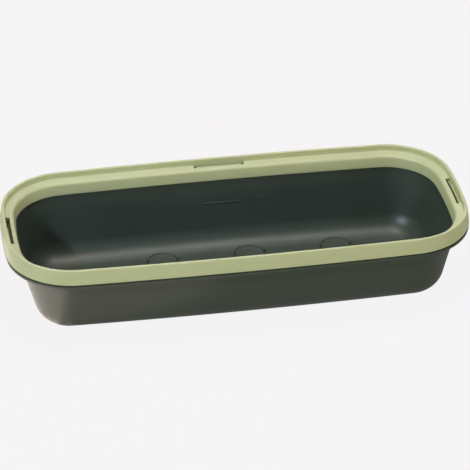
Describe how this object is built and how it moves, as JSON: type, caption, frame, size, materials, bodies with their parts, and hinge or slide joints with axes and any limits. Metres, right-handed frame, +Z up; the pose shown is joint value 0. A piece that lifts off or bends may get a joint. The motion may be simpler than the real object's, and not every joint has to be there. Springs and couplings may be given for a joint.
{
  "type": "seed tray",
  "caption": "Long rounded plant trough with a pale lift-off frame on its flange and push-in drain plugs in the floor, for raising seedlings.",
  "frame": {"origin": "middle of the underside, at table height", "axes": "+X along the length, to the right in the picture; +Y across, to the back; +Z up"},
  "size_m": [0.5, 0.2158, 0.0954],
  "materials": {
    "tray_plastic": "satin moulded polypropylene, dark olive",
    "frame_plastic": "satin moulded polypropylene, pale green",
    "plug_plastic": "satin moulded polypropylene, dark olive"
  },
  "bodies": {
    "tray": {"tray_body": "tray_plastic"},
    "rim": {"rim_frame": "frame_plastic"},
    "plug_back_left": {"drain_plug_back_left": "plug_plastic"},
    "plug_back_middle": {"drain_plug_back_middle": "plug_plastic"},
    "plug_back_right": {"drain_plug_back_right": "plug_plastic"},
    "plug_front_left": {"drain_plug_front_left": "plug_plastic"},
    "plug_front_middle": {"drain_plug_front_middle": "plug_plastic"},
    "plug_front_right": {"drain_plug_front_right": "plug_plastic"}
  },
  "joints": [
    {"name": "rim_lift", "type": "slide", "parent": "tray", "child": "rim", "axis": [0, 0, 1], "range_m": [0, 0.03]},
    {"name": "plug_back_left_pull", "type": "slide", "parent": "tray", "child": "plug_back_left", "axis": [0, 0, 1], "range_m": [0, 0.02]},
    {"name": "plug_back_middle_pull", "type": "slide", "parent": "tray", "child": "plug_back_middle", "axis": [0, 0, 1], "range_m": [0, 0.02]},
    {"name": "plug_back_right_pull", "type": "slide", "parent": "tray", "child": "plug_back_right", "axis": [0, 0, 1], "range_m": [0, 0.02]},
    {"name": "plug_front_left_pull", "type": "slide", "parent": "tray", "child": "plug_front_left", "axis": [0, 0, 1], "range_m": [0, 0.02]},
    {"name": "plug_front_middle_pull", "type": "slide", "parent": "tray", "child": "plug_front_middle", "axis": [0, 0, 1], "range_m": [0, 0.02]},
    {"name": "plug_front_right_pull", "type": "slide", "parent": "tray", "child": "plug_front_right", "axis": [0, 0, 1], "range_m": [0, 0.02]}
  ]
}
